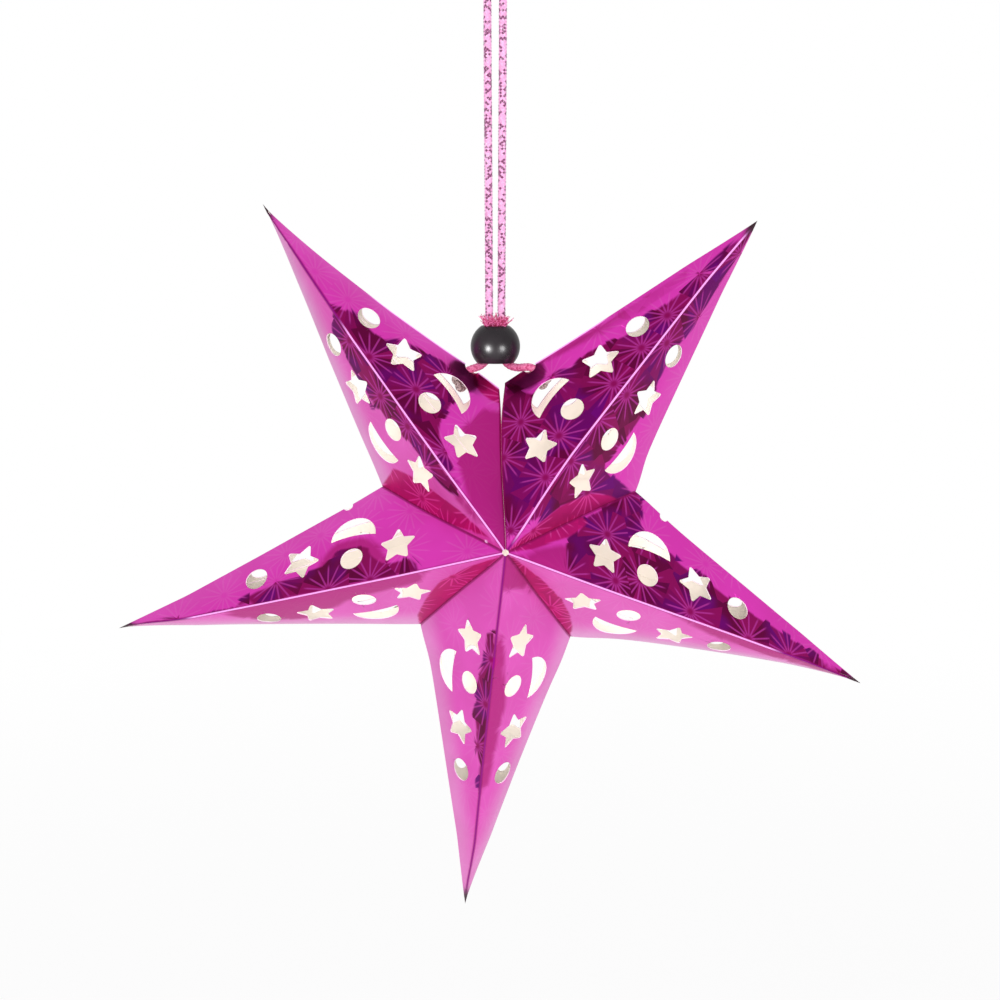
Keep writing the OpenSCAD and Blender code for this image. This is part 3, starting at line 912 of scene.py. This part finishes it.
# the section is drawn point by point and spun round the bead's axis
def makeBead():
    centre = Vector(bead["centre"])
    profile = [(centre + Vector((x, 0, z))) * mm for x, z in beadProfile()]
    deselectAll()
    bpy.ops.mesh.primitive_plane_add(size=mm, location=profile[0])
    piece = bpy.context.object
    piece.name = "lacquered_bead"
    piece.data.name = "lacquered_bead"
    bpy.ops.object.transform_apply(location=True, rotation=True, scale=True)
    bpy.ops.object.mode_set(mode="EDIT")
    bpy.ops.mesh.select_all(action="SELECT")
    bpy.ops.mesh.merge(type="CENTER")
    for here, ahead in zip(profile, profile[1:] + profile[:1]):
        bpy.ops.mesh.extrude_vertices_move(TRANSFORM_OT_translate={"value": ahead - here})
    bpy.ops.mesh.select_all(action="SELECT")
    bpy.ops.mesh.remove_doubles(threshold=1e-6)
    bpy.ops.mesh.spin(steps=72, angle=2 * math.pi, center=centre * mm, axis=(0, 0, 1), use_normal_flip=False)
    bpy.ops.mesh.select_all(action="SELECT")
    bpy.ops.mesh.remove_doubles(threshold=1e-6)
    bpy.ops.mesh.normals_make_consistent(inside=False)
    bpy.ops.object.mode_set(mode="OBJECT")
    bpy.ops.object.shade_smooth_by_angle(angle=math.radians(35))
    piece.data.materials.append(makeLacquer())
    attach(piece, "bead")
    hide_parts("bead")
    return piece


beadPiece = makeBead()
print("bead ready")


# a plain pale room with soft lamps
room = {
    "floorBelow": -0.62,
    "floorSize": 6.0,
    "white": (0.93, 0.92, 0.93, 1),
    "skyLight": 0.75,        # strength of the white surroundings as light, where the camera sees them as 1
}
# soft lamps as their place, size in m and power in W, and what they are aimed at
lamps = {
    "key": ((-0.9, -1.3, 0.7), 0.9, 9),
    "side": ((1.2, -0.9, 0.2), 0.8, 5),
    "front": ((0.05, -1.4, 0.05), 0.25, 4),
}
starAim = (0, 0, -0.22)
# two small softboxes that only light the bead give it its pair of highlights, and the others leave it out
beadLamps = {
    "bead_light_left": ((-0.48, -0.76, -0.27), 0.34, 17),
    "bead_light_right": ((0.48, -0.76, -0.27), 0.34, 9),
}
beadAim = (0, 0, -0.148)
# small lamps inside the hollow, in W, and how far out in each arm its own is, in mm
fills = {"centre": 0.026, "arm": 0.011, "armReach": 62, "softness": 0.012}


def makeFloor():
    bpy.ops.mesh.primitive_plane_add(size=room["floorSize"], location=(0, 0, room["floorBelow"]))
    floor = bpy.context.object
    floor.name = "floor"
    s = Shader("pale_floor")
    s.set(**{"Base Color": room["white"], "Roughness": 0.9, "Specular IOR Level": 0.1})
    rays = s.node("ShaderNodeLightPath")
    glow = s.node("ShaderNodeEmission")
    glow.inputs["Strength"].default_value = 1.0
    mixer = s.node("ShaderNodeMixShader")
    output = s.tree.nodes["Material Output"]
    spot = s.parts(s.node("ShaderNodeTexCoord").outputs["Object"])
    away = s.length(spot[0], spot[1])
    # the camera sees the floor fade into the white surroundings
    s.join(s.times(rays.outputs["Is Camera Ray"], s.step(away, 0.2, 1.6, 0.8, 1.0)), mixer.inputs[0])
    s.join(s.surface.outputs[0], mixer.inputs[1])
    s.join(glow.outputs[0], mixer.inputs[2])
    s.join(mixer.outputs[0], output.inputs["Surface"])
    floor.data.materials.append(s.material)


def makeWorld():
    world = bpy.data.worlds.new("studio")
    world.use_nodes = True
    tree = world.node_tree
    background = tree.nodes["Background"]
    rays = tree.nodes.new("ShaderNodeLightPath")
    strength = tree.nodes.new("ShaderNodeMapRange")
    strength.inputs["To Min"].default_value = room["skyLight"]
    strength.inputs["To Max"].default_value = 1.0
    tree.links.new(rays.outputs["Is Camera Ray"], strength.inputs["Value"])
    tree.links.new(strength.outputs[0], background.inputs["Strength"])
    background.inputs["Color"].default_value = (1, 1, 1, 1)
    bpy.context.scene.world = world


def makeLamp(name, place, size, power, aim):
    data = bpy.data.lights.new(name, "AREA")
    data.shape = "DISK"
    data.size = size
    data.energy = power
    lamp = bpy.data.objects.new(name, data)
    lamp.location = place
    lamp.rotation_euler = (Vector(aim) - Vector(place)).to_track_quat("-Z", "Y").to_euler()
    lamp.visible_camera = False
    bpy.context.scene.collection.objects.link(lamp)
    return lamp


# a small lamp inside the hollow, so that the cream card reads as light as it does in daylight
def makeFill(name, place, power):
    data = bpy.data.lights.new(name, "POINT")
    data.energy = power
    data.shadow_soft_size = fills["softness"]
    lamp = bpy.data.objects.new(name, data)
    lamp.location = place
    lamp.visible_camera = False
    lamp.visible_glossy = False
    bpy.context.scene.collection.objects.link(lamp)


makeFloor()
makeWorld()
beadOnly = bpy.data.collections.new("bead_only")
beadOnly.objects.link(beadPiece)
allButBead = bpy.data.collections.new("all_but_bead")
allButBead.objects.link(beadPiece)
allButBead.collection_objects[0].light_linking.link_state = "EXCLUDE"
for lampName, lamp in lamps.items():
    makeLamp(lampName, *lamp, starAim).light_linking.receiver_collection = allButBead
for lampName, lamp in beadLamps.items():
    makeLamp(lampName, *lamp, beadAim).light_linking.receiver_collection = beadOnly
makeFill("fill_centre", Vector(star["centre"]) * mm, fills["centre"])
for armName, arm in arms.items():
    makeFill("fill_" + armName, (Vector(star["centre"]) + inPlane(fills["armReach"], arm["tip"])) * mm,
             fills["arm"])
print("room ready")

bpy.context.scene.view_settings.view_transform = "Standard"
